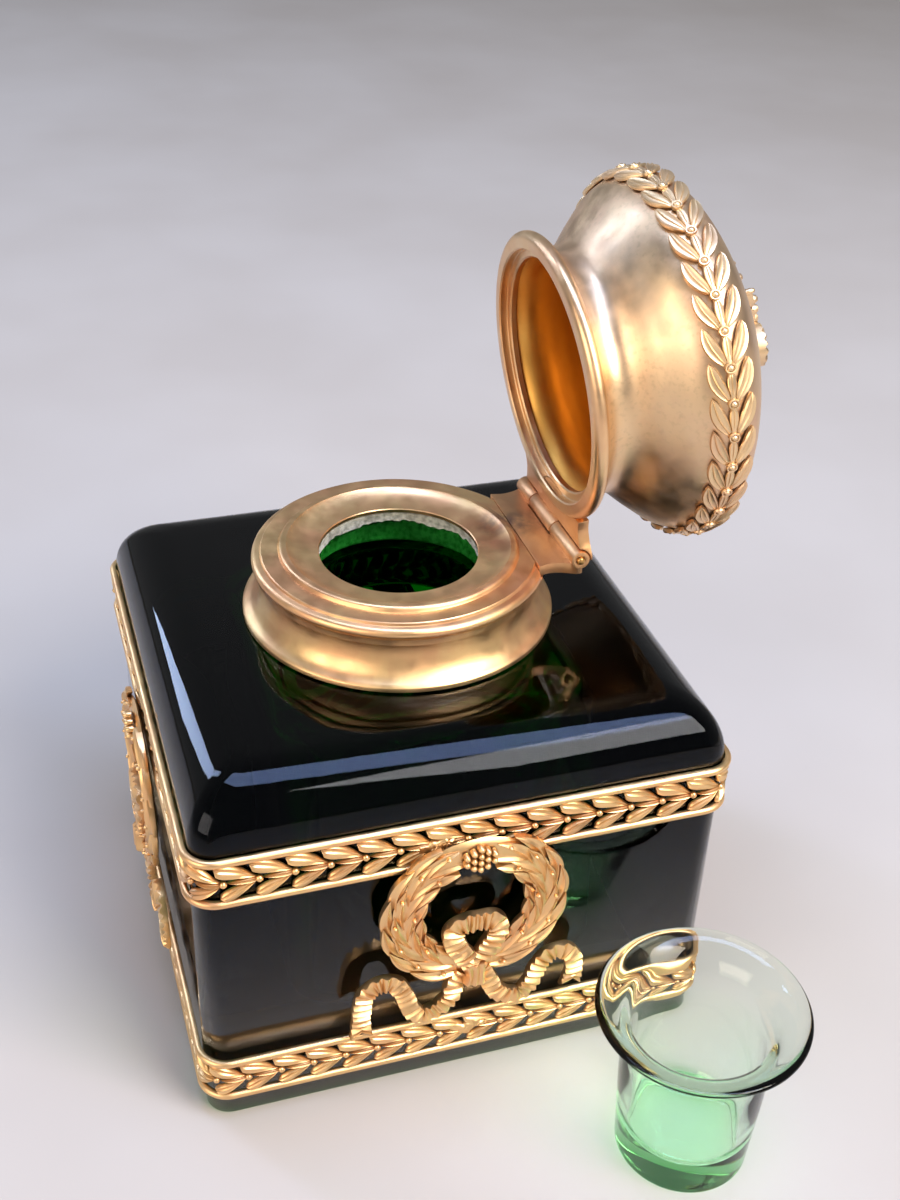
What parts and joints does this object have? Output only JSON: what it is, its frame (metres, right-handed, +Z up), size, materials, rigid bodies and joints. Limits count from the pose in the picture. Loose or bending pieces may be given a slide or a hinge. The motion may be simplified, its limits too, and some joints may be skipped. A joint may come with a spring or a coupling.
{
  "type": "inkwell",
  "caption": "Square crystal desk inkwell with pierced laurel galleries, wreath mounts, a turned collar, a hinged domed lid and a loose glass liner.",
  "frame": {"origin": "centre of the crystal block's flat underside, on the surface it stands on", "axes": "+Z up through the collar; +Y towards the hinge at the back; +X to the right, where the loose liner stands"},
  "size_m": [0.149, 0.1222, 0.1561],
  "materials": {
    "crystal": "polished dark green crystal",
    "clear_glass": "pressed clear glass with a pale green tint",
    "gilt_bronze": "satin mercury gilding, cast and chased",
    "lid_bronze": "spun and satin gilt",
    "brass_pin": "drawn brass wire",
    "plaster": "rough set plaster"
  },
  "bodies": {
    "base": {"glass_block": "crystal", "neck_cement": "plaster", "collar": "gilt_bronze", "collar_hinge_leaf": "gilt_bronze", "hinge_pin": "brass_pin", "lower_gallery": "gilt_bronze", "upper_gallery": "gilt_bronze", "right_wreath": "gilt_bronze", "back_wreath": "gilt_bronze", "left_wreath": "gilt_bronze", "front_wreath": "gilt_bronze"},
    "lid": {"lid_rim": "lid_bronze", "lid_shell": "lid_bronze", "lid_garland": "gilt_bronze", "lid_finial": "gilt_bronze", "lid_hinge_leaf": "gilt_bronze"},
    "liner": {"ink_liner": "clear_glass"}
  },
  "joints": [
    {"name": "lid_hinge", "type": "hinge", "parent": "base", "child": "lid", "pos_m": [0, 0.0305, 0.089], "axis": [1, 0, 0], "range_deg": [0, 83]},
    {"name": "liner_lift", "type": "slide", "parent": "base", "child": "liner", "axis": [0, 0, 1], "range_m": [0, 0.06]}
  ]
}
